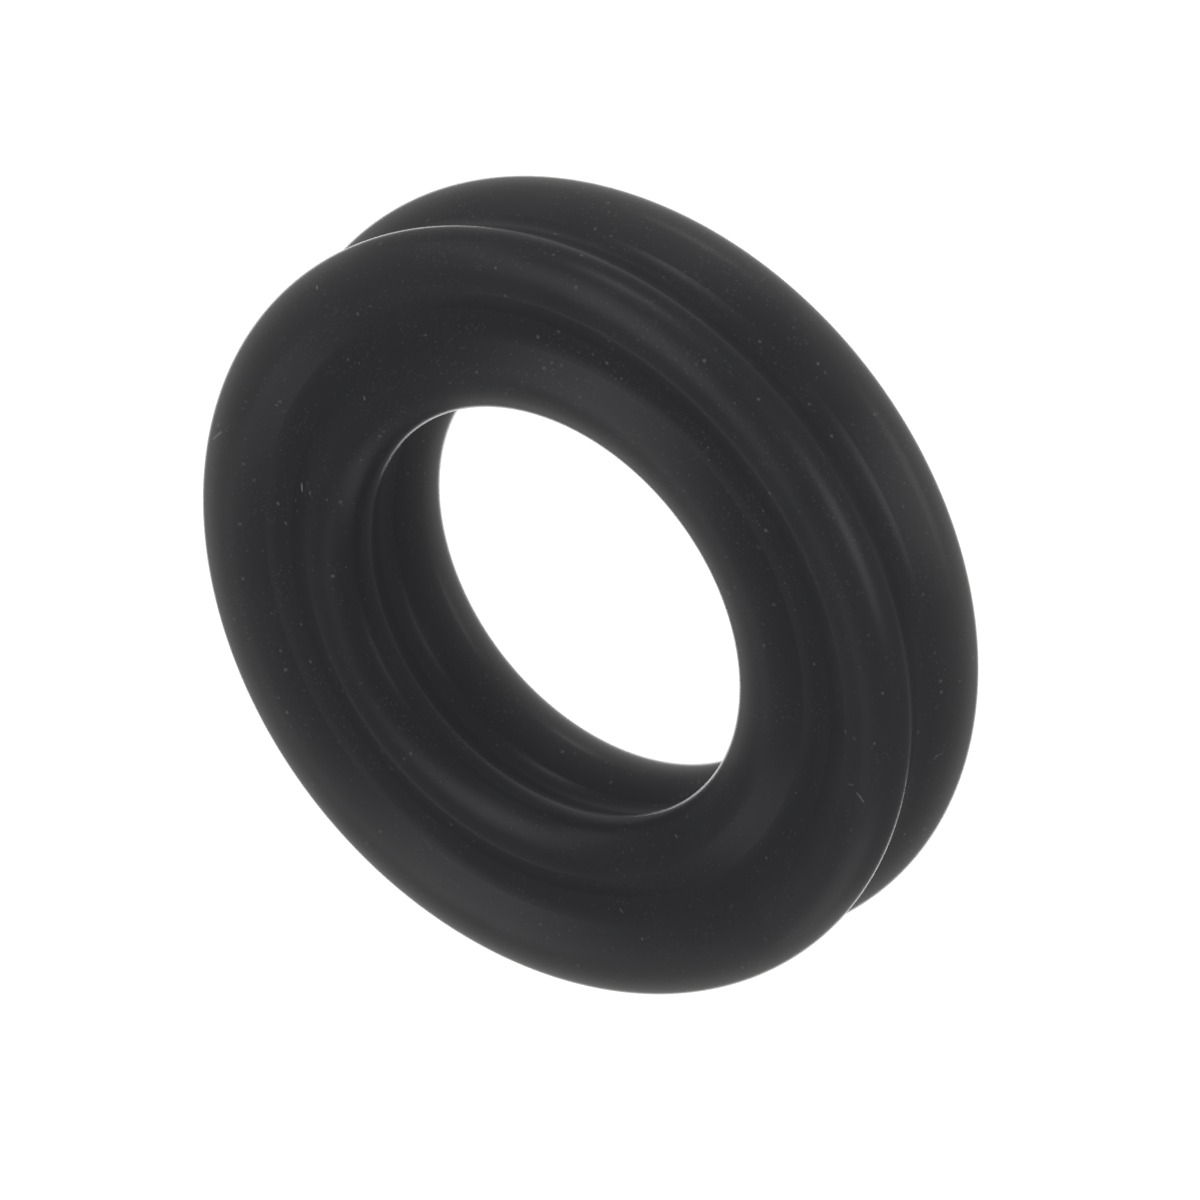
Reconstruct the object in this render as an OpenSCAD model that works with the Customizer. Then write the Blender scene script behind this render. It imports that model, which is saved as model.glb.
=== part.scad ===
// Lobed shaft seal: one moulded rubber ring with an X-shaped section.
// The ring lies flat, with its axis along +Z and its underside at z = 0.
// Lengths are in millimetres.

/* [Ring] */
// Diameter of the hole, across the crests of the inner lobes
bore_d = 12.7; // [6:0.1:60]

/* [Section] */
// Width of the section, the same across the ring and along its axis
section_w = 5.33; // [4.6:0.01:6.6]
// Radius of each of the four sealing lobes
lobe_r = 1; // [0.8:0.01:1.3]
// Slope in degrees of the straight sides of a groove, against the lobes' crests
groove_slope = 30; // [26:1:45]
// Width of a groove's floor, between the feet of its straight sides
groove_floor_w = 0.9; // [0.4:0.02:1.1]
// Radius of the hollow floor of a groove
groove_floor_r = 1.15; // [0.95:0.05:3]

/* [Hidden] */

// Facets in a full turn of any circle
$fn = 120;

// From the section's centre to a lobe's centre, both across and along the axis
lobe_offset = section_w / 2 - lobe_r;

// Half the angle that the floor's arc spans
floor_angle = asin(groove_floor_w / 2 / groove_floor_r);

// Distance across a groove from a straight side's top, where it touches the lobe's arc,
// to its foot, where it meets the floor's arc at a corner
side_w = lobe_offset - lobe_r * sin(groove_slope) - groove_floor_w / 2;

// Depth of a groove below the crests of its lobes
groove_depth = lobe_r * (1 - cos(groove_slope)) + side_w * tan(groove_slope)
    + groove_floor_r * (1 - cos(floor_angle));

// From the section's centre to the centre of a groove's floor arc
groove_offset = section_w / 2 - groove_depth + groove_floor_r;

// Depth that the top of a straight side reaches into the lobe, so that they join cleanly
overlap = 0.0002;

// Top of a straight side of the upper groove, where it touches the lobe
side_top = [
    lobe_offset - (lobe_r - overlap) * sin(groove_slope),
    lobe_offset + (lobe_r - overlap) * cos(groove_slope)
];

// Height at which the two straight sides of the upper groove would meet
valley = side_top.y - side_top.x * tan(groove_slope);

// Point of a straight side that is nearest to the centre of the floor's arc, which takes
// in that point when it is cut
reach = groove_floor_r * cos(groove_slope - floor_angle);
side_near = [reach * sin(groove_slope), groove_offset - reach * cos(groove_slope)];

// Radius of the circle that the section's centre follows round the ring
mean_r = (bore_d + section_w) / 2;

// Quarter turns that repeat a lobe or a groove round the section
quarters = [0:90:270];

// Corners of the web along its upper groove, from one lobe's centre down the straight
// sides to the valley between them
web_corners = [
    [lobe_offset, lobe_offset], side_top, [0, valley], [-side_top.x, side_top.y]
];

// Corners of the filling of the upper valley, before the floor's arc is cut from it
fill_corners = [side_near, [0, groove_offset], [-side_near.x, side_near.y]];

// A point of the section, turned about the section's centre
function turned(point, turn) = [
    point.x * cos(turn) - point.y * sin(turn), point.x * sin(turn) + point.y * cos(turn)
];

// The rubber between the lobes, with the straight sides of the four grooves
module web() {
    polygon([for (quarter = quarters) for (corner = web_corners) turned(corner, quarter)]);
}

// The rubber under the floors of the four grooves
module floors() {
    difference() {
        polygon([for (quarter = quarters) for (corner = fill_corners) turned(corner, quarter)]);
        for (quarter = quarters)
            rotate(quarter)
                translate([0, groove_offset])
                    circle(r = groove_floor_r);
    }
}

// The four round lobes at the corners of the section
module lobes() {
    for (quarter = quarters)
        rotate(quarter)
            translate([lobe_offset, lobe_offset])
                circle(r = lobe_r);
}

// The whole section, centred on the circle that it follows
module section() {
    web();
    floors();
    lobes();
}

// The seal: the section turned once round the axis
module seal_ring() {
    color([0.13, 0.13, 0.14])
        translate([0, 0, section_w / 2])
            rotate_extrude()
                translate([mean_r, 0])
                    section();
}

seal_ring();
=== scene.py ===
"""Lobed shaft seal: one black rubber ring lying flat on a white table lit from below.

The ring's section is drawn stroke by stroke, each a straight side and the arc after it,
and the closed outline is then spun once round the ring's axis. Lengths are in
metres and the ring's axis is +Z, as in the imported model.
"""

import logging
import math
from dataclasses import dataclass, field
from enum import Enum

import bmesh
import bpy
from mathutils import Matrix, Vector


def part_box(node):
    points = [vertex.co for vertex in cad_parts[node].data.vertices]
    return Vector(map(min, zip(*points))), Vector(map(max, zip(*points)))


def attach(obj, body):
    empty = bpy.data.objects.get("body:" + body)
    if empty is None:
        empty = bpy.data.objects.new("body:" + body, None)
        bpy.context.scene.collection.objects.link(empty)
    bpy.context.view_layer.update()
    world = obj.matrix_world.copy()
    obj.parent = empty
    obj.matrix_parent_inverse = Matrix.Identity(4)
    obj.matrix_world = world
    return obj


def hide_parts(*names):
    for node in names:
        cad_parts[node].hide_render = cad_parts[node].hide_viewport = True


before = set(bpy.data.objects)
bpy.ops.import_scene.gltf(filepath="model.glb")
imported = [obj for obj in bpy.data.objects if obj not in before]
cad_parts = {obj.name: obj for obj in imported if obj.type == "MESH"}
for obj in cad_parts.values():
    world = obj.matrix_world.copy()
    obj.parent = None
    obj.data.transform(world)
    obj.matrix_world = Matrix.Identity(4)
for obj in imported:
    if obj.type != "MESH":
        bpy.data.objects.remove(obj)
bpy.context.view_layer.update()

# What feeds a node's input: another node's socket or a plain value
NodeInput = bpy.types.NodeSocket | float | tuple[float, ...] | Vector

log = logging.getLogger("shaft_seal")

MM = 0.001
BODY = "root"
RING_NODE = "seal_ring"
BLACK = (0, 0, 0, 1)
WHITE = (1, 1, 1, 1)
OUTWARD = Vector((1, 0, 0))
RING_AXIS = Vector((0, 0, 1))
# Turning about this axis takes the section's outward direction to its upward one
SECTION_AXIS = Vector((0, -1, 0))
# Points closer than this are one point
JOIN = 0.0004 * MM
# Smallest angle between two faces that shades as a corner
SHARP_ANGLE = math.radians(7)
# Sides of the section, all alike
SIDES = 4
# Share of a speck's or strand's half thickness that hides the rubber fully
CORE = 0.4
# Power in watts of a lamp's face one metre by one that is as bright as white
WHITE_POWER = 4.0
# Radius of a lamp's face in the face's own coordinates, and the place of its centre
FACE_RADIUS = 0.5
# Width of the camera's sensor in millimetres
SENSOR_MM = 36


class SocketType(Enum):
    """Kinds of value that pass in and out of a shader node group."""

    VALUE = "NodeSocketFloat"
    VECTOR = "NodeSocketVector"


class Face(Enum):
    """Face of the ring that lint lies on."""

    TOP = "top"
    RIM = "rim"


@dataclass(frozen=True)
class Stroke:
    """One stretch of the section's outline: a corner, a straight side, a tangent arc.

    Angles are in radians, positive from outward to upward, and any part may be left out.

    Attributes:
        corner: Turn on the spot, before the straight side.
        length: Length of the straight side.
        radius: Radius of the arc.
        turn: Angle that the arc sweeps.
    """

    corner: float = 0
    length: float = 0
    radius: float = 0
    turn: float = 0


@dataclass(frozen=True)
class LobedSection:
    """X-shaped section: four round lobes with a groove between each two.

    Attributes:
        width: Width of the section, the same across the ring and along its axis.
        lobe_r: Radius of each lobe.
        slope: Slope of a groove's straight sides against the crests of its lobes.
        floor_width: Width of a groove's floor, between the feet of its straight sides.
        floor_r: Radius of a groove's hollow floor.
        step: Largest turn between two points of an arc, in radians.
    """

    width: float
    lobe_r: float = 1.0 * MM
    slope: float = math.radians(30)
    floor_width: float = 0.9 * MM
    floor_r: float = 1.15 * MM
    step: float = math.radians(5)

    @property
    def lobe_offset(self) -> float:
        """From the section's centre to a lobe's, outward and upward alike."""
        return self.width / 2 - self.lobe_r

    @property
    def start(self) -> Vector:
        """Point where the upper outer lobe meets the upper groove."""
        edge = Vector((-math.sin(self.slope), 0, math.cos(self.slope))) * self.lobe_r
        return Vector((self.lobe_offset, 0, self.lobe_offset)) + edge

    @property
    def side_length(self) -> float:
        """Length of a groove's straight side, from the lobe's arc to the floor's corner."""
        return (self.start.x - self.floor_width / 2) / math.cos(self.slope)

    def height_at(self, across: float) -> float:
        """Gives the height of a face above the section's centre.

        Args:
            across: Distance along the face from the middle of its groove, either way.

        Returns:
            The height, which is the same on all four sides.
        """
        along, foot = abs(across), self.floor_width / 2
        if along > self.start.x:
            return self.lobe_offset + math.sqrt(self.lobe_r**2 - (along - self.lobe_offset) ** 2)
        side = self.start.z - (self.start.x - max(along, foot)) * math.tan(self.slope)
        if along > foot:
            return side
        return side + math.sqrt(self.floor_r**2 - foot**2) - math.sqrt(self.floor_r**2 - along**2)

    def strokes(self) -> list[Stroke]:
        """Works out the strokes of the whole outline, from the start and back to it.

        Returns:
            The strokes in order, side after side.
        """
        half_floor = math.asin(self.floor_width / 2 / self.floor_r)
        corner = half_floor - self.slope
        down = Stroke(length=self.side_length)
        floor = Stroke(corner=corner, radius=self.floor_r, turn=-2 * half_floor)
        up = Stroke(corner, self.side_length, self.lobe_r, math.tau / SIDES + 2 * self.slope)
        return [down, floor, up] * SIDES

    def draw(self, bm: bmesh.types.BMesh, middle: Vector) -> None:
        """Draws the closed outline in the plane through the ring's axis.

        Args:
            bm: Mesh that the outline is added to.
            middle: Where the section's centre lies.
        """
        heading = Matrix.Rotation(math.pi + self.slope, 3, SECTION_AXIS)
        tip = [bm.verts.new(middle + self.start)]
        for stroke in self.strokes():
            heading = Matrix.Rotation(stroke.corner, 3, SECTION_AXIS) @ heading
            ahead, aside = heading @ OUTWARD, heading @ RING_AXIS
            if stroke.length:
                tip = bmesh.ops.extrude_vert_indiv(bm, verts=tip)["verts"]
                bmesh.ops.translate(bm, verts=tip, vec=ahead * stroke.length)
            if stroke.radius:
                spun = bmesh.ops.spin(
                    bm,
                    geom=tip,
                    cent=tip[0].co + aside * math.copysign(stroke.radius, stroke.turn),
                    axis=SECTION_AXIS,
                    angle=stroke.turn,
                    steps=math.ceil(abs(stroke.turn) / self.step),
                )
                tip = [v for v in spun["geom_last"] if isinstance(v, bmesh.types.BMVert)]
            heading = Matrix.Rotation(stroke.turn, 3, SECTION_AXIS) @ heading


def new_piece(name: str, bm: bmesh.types.BMesh) -> bpy.types.Object:
    """Makes an object at the origin from a finished mesh, and frees the mesh.

    Args:
        name: Name of the piece.
        bm: Its mesh, in place in the ring's frame.

    Returns:
        The linked object, smooth but for its sharp corners.
    """
    mesh = bpy.data.meshes.new(name)
    for face in bm.faces:
        face.smooth = True
    bm.to_mesh(mesh)
    bm.free()
    mesh.set_sharp_from_angle(angle=SHARP_ANGLE)
    piece = bpy.data.objects.new(name, mesh)
    bpy.context.scene.collection.objects.link(piece)
    return piece


class GroupSketch:
    """Shader node group while it is being put together."""

    def __init__(self, name: str) -> None:
        """Starts an empty group.

        Args:
            name: Name of the group.
        """
        self.tree = bpy.data.node_groups.new(name, "ShaderNodeTree")
        self._inside = self.tree.nodes.new("NodeGroupInput")
        self._outside = self.tree.nodes.new("NodeGroupOutput")

    def take(self, name: str, kind: SocketType) -> bpy.types.NodeSocket:
        """Adds an input to the group.

        Args:
            name: Name of the input.
            kind: Kind of value that it takes.

        Returns:
            The socket inside the group that gives the input's value.
        """
        self.tree.interface.new_socket(name, in_out="INPUT", socket_type=kind.value)
        return self._inside.outputs[name]

    def give(self, name: str, kind: SocketType, source: bpy.types.NodeSocket) -> None:
        """Adds an output to the group.

        Args:
            name: Name of the output.
            kind: Kind of value that it gives.
            source: The socket inside the group that the value comes from.
        """
        self.tree.interface.new_socket(name, in_out="OUTPUT", socket_type=kind.value)
        self.tree.links.new(source, self._outside.inputs[name])

    def sum_up(
        self, operation: str, first: NodeInput, second: NodeInput = 0.0, clamp: bool = False
    ) -> bpy.types.NodeSocket:
        """Works out one number from one or two.

        Args:
            operation: Name of the operation, as the Math node has it.
            first: First number, or the socket that gives it.
            second: Second number, or the socket that gives it.
            clamp: Whether the result is kept between 0 and 1.

        Returns:
            The socket that gives the result.
        """
        node = self.tree.nodes.new("ShaderNodeMath")
        node.operation = operation
        node.use_clamp = clamp
        feed(self.tree, node.inputs[0], first)
        feed(self.tree, node.inputs[1], second)
        return node.outputs["Value"]

    def vector(
        self,
        operation: str,
        first: NodeInput,
        second: NodeInput = (0, 0, 0),
        result: str = "Vector",
    ) -> bpy.types.NodeSocket:
        """Works out a vector or a number from one or two vectors.

        Args:
            operation: Name of the operation, as the Vector Math node has it.
            first: First vector, or the socket that gives it.
            second: Second vector, or the socket that gives it.
            result: Name of the output that is wanted.

        Returns:
            The socket that gives the result.
        """
        node = self.tree.nodes.new("ShaderNodeVectorMath")
        node.operation = operation
        feed(self.tree, node.inputs[0], first)
        feed(self.tree, node.inputs[1], second)
        return node.outputs[result]

    def ramp(
        self,
        value: NodeInput,
        start: NodeInput,
        end: NodeInput,
        low: NodeInput = 0.0,
        high: NodeInput = 1.0,
    ) -> bpy.types.NodeSocket:
        """Eases a number from a low value to a high one.

        Args:
            value: The number.
            start: Where it begins to rise from the low value.
            end: Where it reaches the high value.
            low: The low value.
            high: The high value.

        Returns:
            The socket that gives the result.
        """
        node = self.tree.nodes.new("ShaderNodeMapRange")
        node.interpolation_type = "SMOOTHSTEP"
        for name, source in zip(
            ("Value", "From Min", "From Max", "To Min", "To Max"), (value, start, end, low, high)
        ):
            feed(self.tree, node.inputs[name], source)
        return node.outputs["Result"]

    def noise(self, place: NodeInput, size: NodeInput, detail: float = 0.0) -> bpy.types.NodeSocket:
        """Makes smooth random numbers from 0 to 1.

        Args:
            place: Place in the piece's own axes.
            size: Size of the pattern's largest spots.
            detail: How many finer patterns lie over the largest.

        Returns:
            The socket that gives the numbers.
        """
        node = self.tree.nodes.new("ShaderNodeTexNoise")
        feed(self.tree, node.inputs["Vector"], place)
        feed(self.tree, node.inputs["Scale"], self.sum_up("DIVIDE", 1.0, size))
        node.inputs["Detail"].default_value = detail
        return node.outputs["Fac"]


def feed(tree: bpy.types.NodeTree, socket: bpy.types.NodeSocket, source: NodeInput) -> None:
    """Feeds an input with another socket's value, or with a plain one.

    Args:
        tree: The nodes that both belong to.
        socket: The input.
        source: The other socket, or the plain value.
    """
    if isinstance(source, bpy.types.NodeSocket):
        tree.links.new(source, socket)
    else:
        socket.default_value = source


def place_group(
    tree: bpy.types.NodeTree, group: bpy.types.NodeTree, **values: NodeInput
) -> bpy.types.NodeSocket:
    """Places a group among a material's nodes.

    Args:
        tree: The material's nodes.
        group: The group.
        **values: Value of each input, by its name with underscores for spaces.

    Returns:
        The socket of the group's first output.
    """
    node = tree.nodes.new("ShaderNodeGroup")
    node.node_tree = group
    for name, source in values.items():
        feed(tree, node.inputs[name.replace("_", " ")], source)
    return node.outputs[0]


def moulded_grain() -> bpy.types.NodeTree:
    """Makes the group for the fine grain that the mould leaves.

    Returns:
        Group from Place and Size to Height.
    """
    sketch = GroupSketch("moulded_grain")
    place = sketch.take("Place", SocketType.VECTOR)
    size = sketch.take("Size", SocketType.VALUE)
    sketch.give("Height", SocketType.VALUE, sketch.noise(place, size, detail=1.0))
    return sketch.tree


def dust_and_shade_film() -> bpy.types.NodeTree:
    """Makes the group for a film that is partly dust and partly painted shade: thickest, so lightest,
    at the rim and on the lobes, and thin in the grooves and toward the bore, where it leaves painted
    shade.

    Returns:
        Group from Place, Bore Radius, Rim Radius, Middle, Groove Reach, Lobe Reach and
        Patch to Mask.
    """
    sketch = GroupSketch("dust_and_shade_film")
    place = sketch.take("Place", SocketType.VECTOR)
    bore = sketch.take("Bore Radius", SocketType.VALUE)
    rim = sketch.take("Rim Radius", SocketType.VALUE)
    middle = sketch.take("Middle", SocketType.VECTOR)
    groove = sketch.take("Groove Reach", SocketType.VALUE)
    lobe = sketch.take("Lobe Reach", SocketType.VALUE)
    patch = sketch.take("Patch", SocketType.VALUE)
    flat = sketch.vector("MULTIPLY", place, (1, 1, 0))
    radius = sketch.vector("LENGTH", flat, result="Value")
    height = sketch.vector("DOT_PRODUCT", place, RING_AXIS, result="Value")
    cut = sketch.tree.nodes.new("ShaderNodeCombineXYZ")
    sketch.tree.links.new(radius, cut.inputs["X"])
    sketch.tree.links.new(height, cut.inputs["Z"])
    reach = sketch.vector("DISTANCE", cut.outputs["Vector"], middle, result="Value")
    # The rim's and the lobes' shares of the film, which is dust and also painted shade in the grooves
    # and toward the bore
    rim_share, lobe_share = 0.57, 0.43
    by_rim = sketch.ramp(radius, bore, rim, high=rim_share)
    by_lobe = sketch.ramp(reach, groove, lobe, high=lobe_share)
    both = sketch.sum_up("ADD", by_rim, by_lobe)
    thinnest, thickest = 0.7, 1.3
    spots = sketch.noise(place, patch, detail=1.0)
    patches = sketch.ramp(spots, start=0.3, end=0.7, low=thinnest, high=thickest)
    sketch.give("Mask", SocketType.VALUE, sketch.sum_up("MULTIPLY", both, patches))
    return sketch.tree


def dust_specks() -> bpy.types.NodeTree:
    """Makes the group for separate specks of dust, which lie in loose clusters.

    Returns:
        Group from Place, Spacing, Speck, Cluster, Share and Drift to Mask.
    """
    sketch = GroupSketch("dust_specks")
    place = sketch.take("Place", SocketType.VECTOR)
    spacing = sketch.take("Spacing", SocketType.VALUE)
    speck = sketch.take("Speck", SocketType.VALUE)
    cluster = sketch.take("Cluster", SocketType.VALUE)
    share = sketch.take("Share", SocketType.VALUE)
    drift = sketch.take("Drift", SocketType.VECTOR)
    cells = sketch.tree.nodes.new("ShaderNodeTexVoronoi")
    feed(sketch.tree, cells.inputs["Vector"], place)
    feed(sketch.tree, cells.inputs["Scale"], sketch.sum_up("DIVIDE", 1.0, spacing))
    chance = sketch.tree.nodes.new("ShaderNodeSeparateColor")
    sketch.tree.links.new(cells.outputs["Color"], chance.inputs["Color"])
    sparse, crowded = 0.2, 2.0
    crowd = sketch.noise(place, cluster)
    crowd = sketch.ramp(crowd, start=0.35, end=0.7, low=sparse, high=crowded)
    swept, drifted = 0.5, 1.6
    toward = sketch.vector("DOT_PRODUCT", place, drift, result="Value")
    toward = sketch.ramp(toward, start=-1.0, end=1.0, low=swept, high=drifted)
    limit = sketch.sum_up("MULTIPLY", share, sketch.sum_up("MULTIPLY", crowd, toward))
    there = sketch.sum_up("LESS_THAN", chance.outputs["Red"], limit)
    smallest, dimmest = 0.4, 0.2
    size = sketch.ramp(chance.outputs["Green"], 0.0, 1.0, low=smallest)
    radius = sketch.sum_up("MULTIPLY", sketch.sum_up("DIVIDE", speck, spacing), size)
    core = sketch.sum_up("MULTIPLY", radius, CORE)
    spot = sketch.ramp(cells.outputs["Distance"], radius, core)
    bright = sketch.ramp(chance.outputs["Blue"], 0.0, 1.0, low=dimmest)
    bright = sketch.sum_up("MULTIPLY", spot, bright)
    sketch.give("Mask", SocketType.VALUE, sketch.sum_up("MULTIPLY", bright, there))
    return sketch.tree


def lint_strand() -> bpy.types.NodeTree:
    """Makes the group for a short strand of lint that lies on the surface.

    Returns:
        Group from Place, Start, End and Thickness to Mask.
    """
    sketch = GroupSketch("lint_strand")
    place = sketch.take("Place", SocketType.VECTOR)
    start = sketch.take("Start", SocketType.VECTOR)
    end = sketch.take("End", SocketType.VECTOR)
    thickness = sketch.take("Thickness", SocketType.VALUE)
    away = sketch.vector("SUBTRACT", place, start)
    strand = sketch.vector("SUBTRACT", end, start)
    along = sketch.vector("DOT_PRODUCT", away, strand, result="Value")
    whole = sketch.vector("DOT_PRODUCT", strand, strand, result="Value")
    part = sketch.sum_up("DIVIDE", along, whole, clamp=True)
    spread = sketch.tree.nodes.new("ShaderNodeCombineXYZ")
    for axis in "XYZ":
        sketch.tree.links.new(part, spread.inputs[axis])
    near = sketch.vector("ADD", start, sketch.vector("MULTIPLY", strand, spread.outputs["Vector"]))
    distance = sketch.vector("DISTANCE", place, near, result="Value")
    core = sketch.sum_up("MULTIPLY", thickness, CORE)
    sketch.give("Mask", SocketType.VALUE, sketch.ramp(distance, thickness, core))
    return sketch.tree


@dataclass(frozen=True)
class Strand:
    """Strand of lint on the ring's skin, or a long speck.

    Attributes:
        start: Where the strand starts, in the ring's own axes.
        end: Where it ends.
        thickness: Its half thickness.
        cover: How far it hides the rubber.
    """

    start: Vector
    end: Vector
    thickness: float
    cover: float


@dataclass(frozen=True)
class Specks:
    """One size of dust specks.

    Attributes:
        spacing: Distance between places where a speck may lie.
        radius: Radius of the largest specks.
        cluster: Size of the clusters.
        share: Share of the places that hold a speck.
        cover: How far the specks hide the rubber.
    """

    spacing: float
    radius: float
    cluster: float
    share: float
    cover: float


@dataclass(frozen=True)
class RubberFinish:
    """Charcoal black moulded rubber, satin, with specks, lint and a film that is partly dust and
    partly painted shade in the grooves and toward the bore.

    Attributes:
        colour: Colour of the clean rubber, which also stands for painted shade where the film is
            thin, in the grooves and toward the bore.
        lit_dust_colour: Colour of the rubber under the thickest film, partly dust and partly painted
            light on the lobes and the rim.
        dust_colour: Colour of the specks and the lint.
        roughness: Roughness of the clean rubber.
        film_roughness: Roughness of the rubber under the thickest film.
        dust_roughness: Roughness of the specks and the lint.
        shade_film_start: Distance from the ring's axis where the film starts; nearer the axis the
            bore is left in painted shade.
        shade_film_end: Distance from the axis where it is thickest.
        groove_reach: Distance from the section's centre where the second film starts; nearer the
            centre, in the grooves, the rubber is left in painted shade.
        lobe_reach: Distance from the section's centre where that film is thickest.
        film_patch: Size of the film's patches.
        sheen: Share of the skin's thin waxy coat.
        sheen_roughness: Roughness of the coat.
        grain: Size of the moulded grain.
        grain_depth: Depth of the grain.
        specks: The sizes of specks.
        drift: Way in which the specks thicken, longer where the change is quicker.
    """

    colour: tuple[float, float, float] = (0.006, 0.0065, 0.014)
    lit_dust_colour: tuple[float, float, float] = (0.042, 0.0425, 0.048)
    dust_colour: tuple[float, float, float] = (0.6, 0.6, 0.57)
    roughness: float = 0.36
    film_roughness: float = 0.4
    dust_roughness: float = 0.9
    shade_film_start: float = 6.5 * MM
    shade_film_end: float = 11.5 * MM
    groove_reach: float = 2.1 * MM
    lobe_reach: float = 3.1 * MM
    film_patch: float = 2.5 * MM
    sheen: float = 0.25
    sheen_roughness: float = 0.08
    grain: float = 0.12 * MM
    grain_depth: float = 0.0006 * MM
    specks: tuple[Specks, ...] = (
        Specks(spacing=0.11 * MM, radius=0.055 * MM, cluster=1.4 * MM, share=0.5, cover=0.17),
        Specks(spacing=0.25 * MM, radius=0.08 * MM, cluster=1.8 * MM, share=0.15, cover=0.5),
    )
    drift: tuple[float, float, float] = (80, -30, 0)

    def build(self, middle: Vector, strands: tuple[Strand, ...]) -> bpy.types.Material:
        """Builds the rubber's material.

        Args:
            middle: Centre of the ring's section, in the plane of +X and +Z.
            strands: The strands of lint on the ring.

        Returns:
            The material, in the ring's own axes.
        """
        material = bpy.data.materials.new("black_rubber")
        material.use_nodes = True
        tree = material.node_tree
        shader = tree.nodes["Principled BSDF"]
        place = tree.nodes.new("ShaderNodeTexCoord").outputs["Object"]
        # Film mask: dust, and painted shade where it is thin, in the grooves and toward the bore
        dust_and_shade = place_group(
            tree,
            dust_and_shade_film(),
            Place=place,
            Bore_Radius=self.shade_film_start,
            Rim_Radius=self.shade_film_end,
            Middle=middle,
            Groove_Reach=self.groove_reach,
            Lobe_Reach=self.lobe_reach,
            Patch=self.film_patch,
        )
        colour = self._mix(tree, "RGBA", dust_and_shade, (*self.colour, 1), (*self.lit_dust_colour, 1))
        roughness = self._mix(tree, "FLOAT", dust_and_shade, self.roughness, self.film_roughness)
        for mask, cover in self._dust(tree, place, strands):
            hidden = tree.nodes.new("ShaderNodeMath")
            hidden.operation = "MULTIPLY"
            hidden.inputs[1].default_value = cover
            tree.links.new(mask, hidden.inputs[0])
            part = hidden.outputs["Value"]
            colour = self._mix(tree, "RGBA", part, colour, (*self.dust_colour, 1))
            roughness = self._mix(tree, "FLOAT", part, roughness, self.dust_roughness)
        bump = tree.nodes.new("ShaderNodeBump")
        bump.inputs["Distance"].default_value = self.grain_depth
        height = place_group(tree, moulded_grain(), Place=place, Size=self.grain)
        tree.links.new(height, bump.inputs["Height"])
        tree.links.new(bump.outputs["Normal"], shader.inputs["Normal"])
        tree.links.new(colour, shader.inputs["Base Color"])
        tree.links.new(roughness, shader.inputs["Roughness"])
        shader.inputs["Coat Weight"].default_value = self.sheen
        shader.inputs["Coat Roughness"].default_value = self.sheen_roughness
        return material

    def _dust(
        self, tree: bpy.types.NodeTree, place: bpy.types.NodeSocket, strands: tuple[Strand, ...]
    ) -> list[tuple[bpy.types.NodeSocket, float]]:
        """Scatters the specks and lays the lint.

        Args:
            tree: The material's nodes.
            place: The place in the ring's own axes.
            strands: The strands of lint.

        Returns:
            Mask of each kind of dust, with how far it hides the rubber.
        """
        specks, lint = dust_specks(), lint_strand()
        layers = [
            (
                place_group(
                    tree,
                    specks,
                    Place=place,
                    Spacing=layer.spacing,
                    Speck=layer.radius,
                    Cluster=layer.cluster,
                    Share=layer.share,
                    Drift=self.drift,
                ),
                layer.cover,
            )
            for layer in self.specks
        ]
        for strand in strands:
            mask = place_group(
                tree,
                lint,
                Place=place,
                Start=strand.start,
                End=strand.end,
                Thickness=strand.thickness,
            )
            layers.append((mask, strand.cover))
        return layers

    @staticmethod
    def _mix(
        tree: bpy.types.NodeTree,
        kind: str,
        part: bpy.types.NodeSocket,
        first: NodeInput,
        second: NodeInput,
    ) -> bpy.types.NodeSocket:
        """Mixes two colours or two numbers.

        Args:
            tree: The material's nodes.
            kind: Kind of value, as the Mix node names it.
            part: Share of the second.
            first: First value, or the socket that gives it.
            second: Second value.

        Returns:
            The socket that gives the mix.
        """
        node = tree.nodes.new("ShaderNodeMix")
        node.data_type = kind
        inputs = [socket for socket in node.inputs if socket.enabled]
        for socket, source in zip(inputs, (part, first, second)):
            feed(tree, socket, source)
        return next(socket for socket in node.outputs if socket.enabled)


@dataclass(frozen=True)
class Lint:
    """Strand of lint by its place on the ring.

    A place is the angle round the ring's axis from +X, in degrees, and the distance across
    the face from the middle of its groove: outward on the top and upward on the rim.

    Attributes:
        start: Place where the strand starts.
        end: Place where it ends.
        thickness: Its half thickness.
        cover: How far it hides the rubber.
        face: The face that it lies on.
    """

    start: tuple[float, float]
    end: tuple[float, float]
    thickness: float
    cover: float
    face: Face = Face.TOP


# Half thickness of a fine strand, a stouter one and the one thick flake
FINE = 0.038 * MM
STOUT = 0.048 * MM
FLAKE = 0.07 * MM

LINT = (
    Lint((31.2, -0.74 * MM), (32.1, -0.80 * MM), FLAKE, cover=1.0),
    Lint((30.9, 2.16 * MM), (28.5, 1.92 * MM), FINE, cover=0.7),
    Lint((-146.1, 1.85 * MM), (-146.5, 1.94 * MM), FINE, cover=0.5),
    Lint((-146.5, 1.94 * MM), (-147.2, 2.05 * MM), FINE, cover=0.6),
    Lint((-145.2, 1.55 * MM), (-145.0, 1.68 * MM), FINE, cover=0.3),
    Lint((-148.2, -0.69 * MM), (-147.6, -0.75 * MM), FINE, cover=0.35, face=Face.RIM),
    Lint((-147.6, -0.75 * MM), (-147.4, -0.88 * MM), FINE, cover=0.35, face=Face.RIM),
    Lint((0.5, -1.09 * MM), (0.5, -1.13 * MM), STOUT, cover=0.7),
    Lint((-5.6, 2.19 * MM), (-5.6, 2.15 * MM), STOUT, cover=0.8),
    Lint((-9.6, 1.01 * MM), (-9.2, 0.95 * MM), STOUT, cover=0.5),
    Lint((175.1, -2.03 * MM), (175.4, -1.97 * MM), FINE, cover=0.4),
    Lint((148.9, -0.03 * MM), (149.3, 0.06 * MM), FINE, cover=0.4),
)


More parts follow.
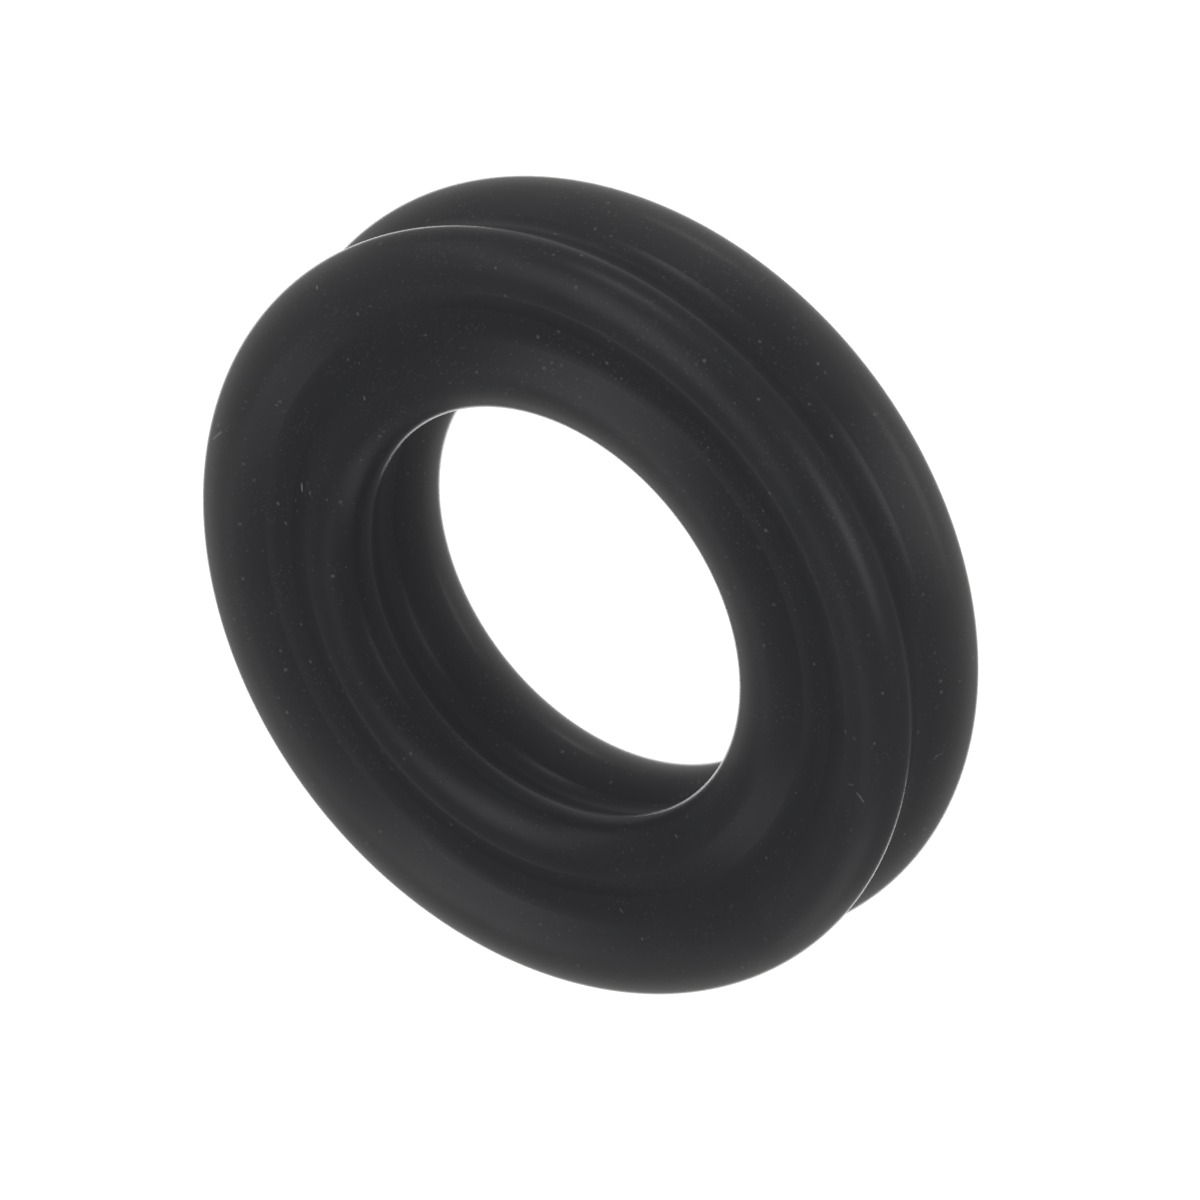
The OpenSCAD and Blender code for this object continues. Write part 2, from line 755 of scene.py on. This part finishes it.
@dataclass
class SealRing:
    """The moulded ring.

    Attributes:
        outer_r: Radius of the ring across its outer crests.
        section: The section that the ring is turned from.
        steps: Number of steps in the turn round the ring.
        finish: The rubber.
        lint: The strands of lint on the rubber.
    """

    outer_r: float
    section: LobedSection
    steps: int = 288
    finish: RubberFinish = field(default_factory=RubberFinish)
    lint: tuple[Lint, ...] = LINT

    @property
    def middle(self) -> Vector:
        """Centre of the section where the outline is drawn."""
        half = self.section.width / 2
        return Vector((self.outer_r - half, 0, half))

    def on_skin(self, face: Face, around: float, across: float) -> Vector:
        """Gives a point of the skin by its place on a face.

        Args:
            face: The face.
            around: Angle round the ring's axis from +X, in degrees.
            across: Distance across the face from the middle of its groove.

        Returns:
            The point, in the ring's own axes.
        """
        height = self.section.height_at(across)
        outward, upward = (across, height) if face is Face.TOP else (height, across)
        point = self.middle + Vector((outward, 0, upward))
        return Matrix.Rotation(math.radians(around), 3, RING_AXIS) @ point

    def strands(self) -> tuple[Strand, ...]:
        """Lays the lint on the skin.

        Returns:
            The strands, in the ring's own axes.
        """
        return tuple(
            Strand(
                start=self.on_skin(lint.face, *lint.start),
                end=self.on_skin(lint.face, *lint.end),
                thickness=lint.thickness,
                cover=lint.cover,
            )
            for lint in self.lint
        )

    def build(self) -> bpy.types.Object:
        """Turns the section round the axis into the ring's closed skin.

        Returns:
            The dressed ring, riding its body.
        """
        bm = bmesh.new()
        self.section.draw(bm, self.middle)
        bmesh.ops.remove_doubles(bm, verts=bm.verts[:], dist=JOIN)
        bmesh.ops.spin(
            bm,
            geom=bm.verts[:] + bm.edges[:],
            cent=Vector(),
            axis=RING_AXIS,
            angle=math.tau,
            steps=self.steps,
            use_merge=True,
        )
        bmesh.ops.remove_doubles(bm, verts=bm.verts[:], dist=JOIN)
        bmesh.ops.recalc_face_normals(bm, faces=bm.faces[:])
        piece = new_piece("lobed_ring", bm)
        piece.data.materials.append(self.finish.build(self.middle, self.strands()))
        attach(piece, BODY)
        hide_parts(RING_NODE)
        return piece


@dataclass(frozen=True)
class TableFinish:
    """White sheet, lit evenly from below.

    Attributes:
        glow: Brightness of the sheet, where 1 is white.
    """

    glow: float = 1.0

    def build(self) -> bpy.types.Material:
        """Builds the table's material.

        Returns:
            The material, which reflects nothing.
        """
        material = bpy.data.materials.new("lit_sheet")
        material.use_nodes = True
        shader = material.node_tree.nodes["Principled BSDF"]
        shader.inputs["Base Color"].default_value = BLACK
        shader.inputs["Specular IOR Level"].default_value = 0
        shader.inputs["Emission Color"].default_value = WHITE
        shader.inputs["Emission Strength"].default_value = self.glow
        return material


@dataclass(frozen=True)
class SoftLamp:
    """Soft lamp with an oval face, placed by its direction in the camera's own axes.

    Attributes:
        name: Name of the lamp.
        right: Angle to the right of the camera, in degrees.
        up: Angle above the camera, in degrees.
        width: Angle that the lamp's face spans, in degrees.
        height: Angle that the face spans the other way, in degrees.
        strength: Brightness of the face, where the table's white is 1.
        turn: Turn of the face, anticlockwise from the ring, in degrees.
        edge: Share of the face's radius over which it fades out.
        distance: From the middle of the ring to the lamp's face.
    """

    name: str
    right: float
    up: float
    width: float
    height: float
    strength: float
    turn: float = 0
    edge: float = 1
    distance: float = 0.6

    def build(self, aim: Matrix) -> bpy.types.Object:
        """Hangs the lamp so that it faces the ring.

        Args:
            aim: The camera's axes, at the middle of the ring.

        Returns:
            The lamp, which the camera doesn't see.
        """
        data = bpy.data.lights.new(self.name, "AREA")
        data.shape = "ELLIPSE"
        data.size = 2 * self.distance * math.tan(math.radians(self.width) / 2)
        data.size_y = 2 * self.distance * math.tan(math.radians(self.height) / 2)
        data.energy = self.strength * WHITE_POWER * data.size * data.size_y
        self._fade(data)
        lamp = bpy.data.objects.new(self.name, data)
        lamp.visible_camera = False
        bpy.context.scene.collection.objects.link(lamp)
        lamp.matrix_world = (
            aim
            @ Matrix.Rotation(math.radians(self.right), 4, "Y")
            @ Matrix.Rotation(math.radians(-self.up), 4, "X")
            @ Matrix.Rotation(math.radians(self.turn), 4, "Z")
            @ Matrix.Translation((0, 0, self.distance))
        )
        return lamp

    def _fade(self, data: bpy.types.AreaLight) -> None:
        """Fades the face out toward its rim.

        Args:
            data: The lamp's data.
        """
        data.use_nodes = True
        tree = data.node_tree
        face = tree.nodes.new("ShaderNodeNewGeometry")
        radius = tree.nodes.new("ShaderNodeVectorMath")
        radius.operation = "DISTANCE"
        radius.inputs[1].default_value = (FACE_RADIUS, FACE_RADIUS, 0)
        fade = tree.nodes.new("ShaderNodeMapRange")
        fade.interpolation_type = "SMOOTHSTEP"
        fade.inputs["From Min"].default_value = FACE_RADIUS
        fade.inputs["From Max"].default_value = FACE_RADIUS * (1 - self.edge)
        tree.links.new(face.outputs["Parametric"], radius.inputs[0])
        tree.links.new(radius.outputs["Value"], fade.inputs["Value"])
        glow = tree.nodes["Emission"]
        tree.links.new(fade.outputs["Result"], glow.inputs["Strength"])


@dataclass(frozen=True)
class RoomLight:
    """Light of the dim room, strongest in a belt round the camera's line of sight.

    Attributes:
        ends: Light from before and behind the camera, where the table's white is 1.
        belt: Light from every side.
    """

    ends: float = 0.016
    belt: float = 0.07

    def build(self, aim: Matrix) -> bpy.types.World:
        """Builds the room as the scene's world, plain white behind the table.

        Args:
            aim: The camera's axes.

        Returns:
            The world.
        """
        world = bpy.data.worlds.new("dim_room")
        world.use_nodes = True
        tree = world.node_tree
        view = tree.nodes.new("ShaderNodeNewGeometry")
        across = tree.nodes.new("ShaderNodeVectorMath")
        across.operation = "CROSS_PRODUCT"
        across.inputs[1].default_value = aim.to_3x3() @ RING_AXIS
        tree.links.new(view.outputs["Incoming"], across.inputs[0])
        sine = tree.nodes.new("ShaderNodeVectorMath")
        sine.operation = "LENGTH"
        tree.links.new(across.outputs["Vector"], sine.inputs[0])
        walls = tree.nodes.new("ShaderNodeMapRange")
        walls.inputs["To Min"].default_value = self.ends
        walls.inputs["To Max"].default_value = self.belt
        tree.links.new(sine.outputs["Value"], walls.inputs["Value"])
        seen = tree.nodes.new("ShaderNodeLightPath")
        strength = tree.nodes.new("ShaderNodeMix")
        tree.links.new(seen.outputs["Is Camera Ray"], strength.inputs["Factor"])
        tree.links.new(walls.outputs["Result"], strength.inputs["A"])
        strength.inputs["B"].default_value = 1
        light = tree.nodes["Background"]
        light.inputs["Color"].default_value = WHITE
        tree.links.new(strength.outputs["Result"], light.inputs["Strength"])
        bpy.context.scene.world = world
        return world


@dataclass(frozen=True)
class Halo:
    """One halo that the lens throws round whatever is bright.

    Attributes:
        size: Its size, as a share of the picture's width.
        strength: Share of the light that goes into it.
    """

    size: float
    strength: float


@dataclass(frozen=True)
class LensBloom:
    """Light that the lens scatters from the bright table over the dark ring.

    Attributes:
        halos: The halos, from the narrowest to the widest.
        veil: Colour of the even light over the whole picture.
        tint: Colour that the halos and the veil take from the lens.
    """

    halos: tuple[Halo, ...] = (
        Halo(size=0.02, strength=0.089),
        Halo(size=0.04, strength=0.037),
        Halo(size=0.08, strength=0.0345),
        Halo(size=0.4, strength=0.01),
    )
    veil: tuple[float, float, float] = (0.0108, 0.0113, 0.0138)
    tint: tuple[float, float, float] = (1.02, 1.01, 0.96)

    def build(self) -> None:
        """Adds the halos to the scene's picture."""
        scene = bpy.context.scene
        scene.use_nodes = True
        tree = scene.node_tree
        tree.nodes.clear()
        picture = tree.nodes.new("CompositorNodeRLayers").outputs["Image"]
        glow = (*self.veil, 1)
        for halo in self.halos:
            radius = tree.nodes.new("CompositorNodeRelativeToPixel")
            radius.data_type = "VECTOR"
            radius.reference_dimension = "X"
            radius.inputs[0].default_value = (halo.size, halo.size)
            blur = tree.nodes.new("CompositorNodeBlur")
            blur.filter_type = "GAUSS"
            tree.links.new(picture, radius.inputs["Image"])
            tree.links.new(picture, blur.inputs["Image"])
            tree.links.new(radius.outputs[1], blur.inputs["Size"])
            glow = self._blend(tree, "ADD", glow, blur.outputs["Image"], halo.strength)
        glow = self._blend(tree, "MULTIPLY", glow, (*self.tint, 1))
        total = self._blend(tree, "ADD", picture, glow)
        result = tree.nodes.new("CompositorNodeComposite")
        tree.links.new(total, result.inputs["Image"])

    @staticmethod
    def _blend(
        tree: bpy.types.NodeTree,
        blend: str,
        first: NodeInput,
        second: NodeInput,
        strength: float = 1,
    ) -> bpy.types.NodeSocket:
        """Blends two pictures or plain colours.

        Args:
            tree: The scene's own nodes.
            blend: Name of the blend, as the Mix node has it.
            first: First picture or colour.
            second: Second picture or colour.
            strength: Share of the second.

        Returns:
            The socket that gives the result.
        """
        mix = tree.nodes.new("CompositorNodeMixRGB")
        mix.blend_type = blend
        mix.inputs["Fac"].default_value = strength
        feed(tree, mix.inputs[1], first)
        feed(tree, mix.inputs[2], second)
        return mix.outputs["Image"]


@dataclass(frozen=True)
class CameraStand:
    """Camera on its stand, with a long lens.

    Attributes:
        elevation: Height of the camera above the table, as an angle.
        roll: Turn of the camera about its line of sight, clockwise.
        distance: From the camera to the middle of the ring.
        depth: How many times nearer and farther than the ring the camera still sees.
        lens_mm: Focal length in millimetres.
        aim_right: How far right of the ring's middle the picture's centre lies.
        aim_down: How far below the ring's middle the picture's centre lies.
    """

    elevation: float = math.radians(45.4)
    roll: float = math.radians(127.15)
    distance: float = 0.7
    depth: float = 100
    lens_mm: float = 756
    aim_right: float = 0.32 * MM
    aim_down: float = 0.38 * MM

    @property
    def axes(self) -> Matrix:
        """Turn from the world's axes to the camera's right, up and backward."""
        tilt = Matrix.Rotation(math.pi / 2 - self.elevation, 4, "X")
        return tilt @ Matrix.Rotation(-self.roll, 4, "Z")

    def build(self, target: Vector) -> bpy.types.Object:
        """Stands the camera up and makes it the scene's.

        Args:
            target: Middle of the ring.

        Returns:
            The camera.
        """
        data = bpy.data.cameras.new("camera")
        data.lens = self.lens_mm
        data.sensor_width = SENSOR_MM
        data.clip_start = self.distance / self.depth
        data.clip_end = self.distance * self.depth
        camera = bpy.data.objects.new("camera", data)
        bpy.context.scene.collection.objects.link(camera)
        back = Matrix.Translation((self.aim_right, -self.aim_down, self.distance))
        camera.matrix_world = Matrix.Translation(target) @ self.axes @ back
        bpy.context.scene.camera = camera
        return camera


LAMPS = (
    SoftLamp("right_box", right=54, up=3, width=46, height=62, strength=0.64, turn=15),
    SoftLamp("left_box", right=-44, up=4, width=62, height=92, strength=0.37, turn=-10),
    SoftLamp("left_corner", right=-76, up=36, width=40, height=70, strength=0.18, turn=31),
    SoftLamp("top_box", right=-4, up=68, width=60, height=52, strength=0.16, turn=-25),
    SoftLamp("top_core", right=-4, up=72, width=36, height=26, strength=0.61, turn=-20),
    SoftLamp("bottom_box", right=4, up=-90, width=66, height=42, strength=0.2, edge=0.8),
    SoftLamp("low_left_box", right=-44, up=-52, width=50, height=50, strength=0.1),
    SoftLamp("rear_top_box", right=180, up=48, width=80, height=50, strength=0.1),
    SoftLamp("backdrop", right=162, up=16, width=60, height=60, strength=0.2, edge=0.4),
    SoftLamp("backdrop_fill", right=180, up=0, width=110, height=110, strength=0.025, edge=0.6),
    SoftLamp("lit_table", right=180, up=0, width=54, height=54, strength=1.1, edge=0.2, distance=0.5),
    SoftLamp("rear_low_box", right=-150, up=-31, width=64, height=44, strength=0.12),
)


@dataclass
class Studio:
    """Table, lamps, room and camera round the ring.

    Attributes:
        target: Middle of the ring.
        table: Finish of the table.
        camera: The camera's stand.
        room: Light of the room.
        bloom: Scatter of the camera's lens.
        lamps: The soft lamps.
        table_size: Length of a side of the table.
    """

    target: Vector
    table: TableFinish = field(default_factory=TableFinish)
    camera: CameraStand = field(default_factory=CameraStand)
    room: RoomLight = field(default_factory=RoomLight)
    bloom: LensBloom = field(default_factory=LensBloom)
    lamps: tuple[SoftLamp, ...] = LAMPS
    table_size: float = 4

    def build(self) -> None:
        """Sets up everything that isn't the ring."""
        self._lay_table()
        aim = Matrix.Translation(self.target) @ self.camera.axes
        for lamp in self.lamps:
            lamp.build(aim)
            log.info("%s: hung", lamp.name)
        self.room.build(aim)
        self.camera.build(self.target)
        self.bloom.build()
        bpy.context.scene.view_settings.view_transform = "Standard"

    def _lay_table(self) -> None:
        """Lays the table under the ring, where only the camera sees it."""
        bm = bmesh.new()
        bmesh.ops.create_grid(bm, x_segments=1, y_segments=1, size=self.table_size / 2)
        table = new_piece("table", bm)
        table.data.materials.append(self.table.build())
        table.visible_diffuse = False
        table.visible_glossy = False
        table.visible_shadow = False


def main() -> None:
    """Builds the ring and the studio."""
    logging.basicConfig(level=logging.INFO, format="%(message)s")
    low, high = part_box(RING_NODE)
    section = LobedSection(width=high.z - low.z)
    ring = SealRing(outer_r=(high.x - low.x) / 2, section=section)
    piece = ring.build()
    log.info("%s: %d faces", piece.name, len(piece.data.polygons))
    Studio(target=(low + high) / 2).build()


if __name__ == "__main__":
    main()
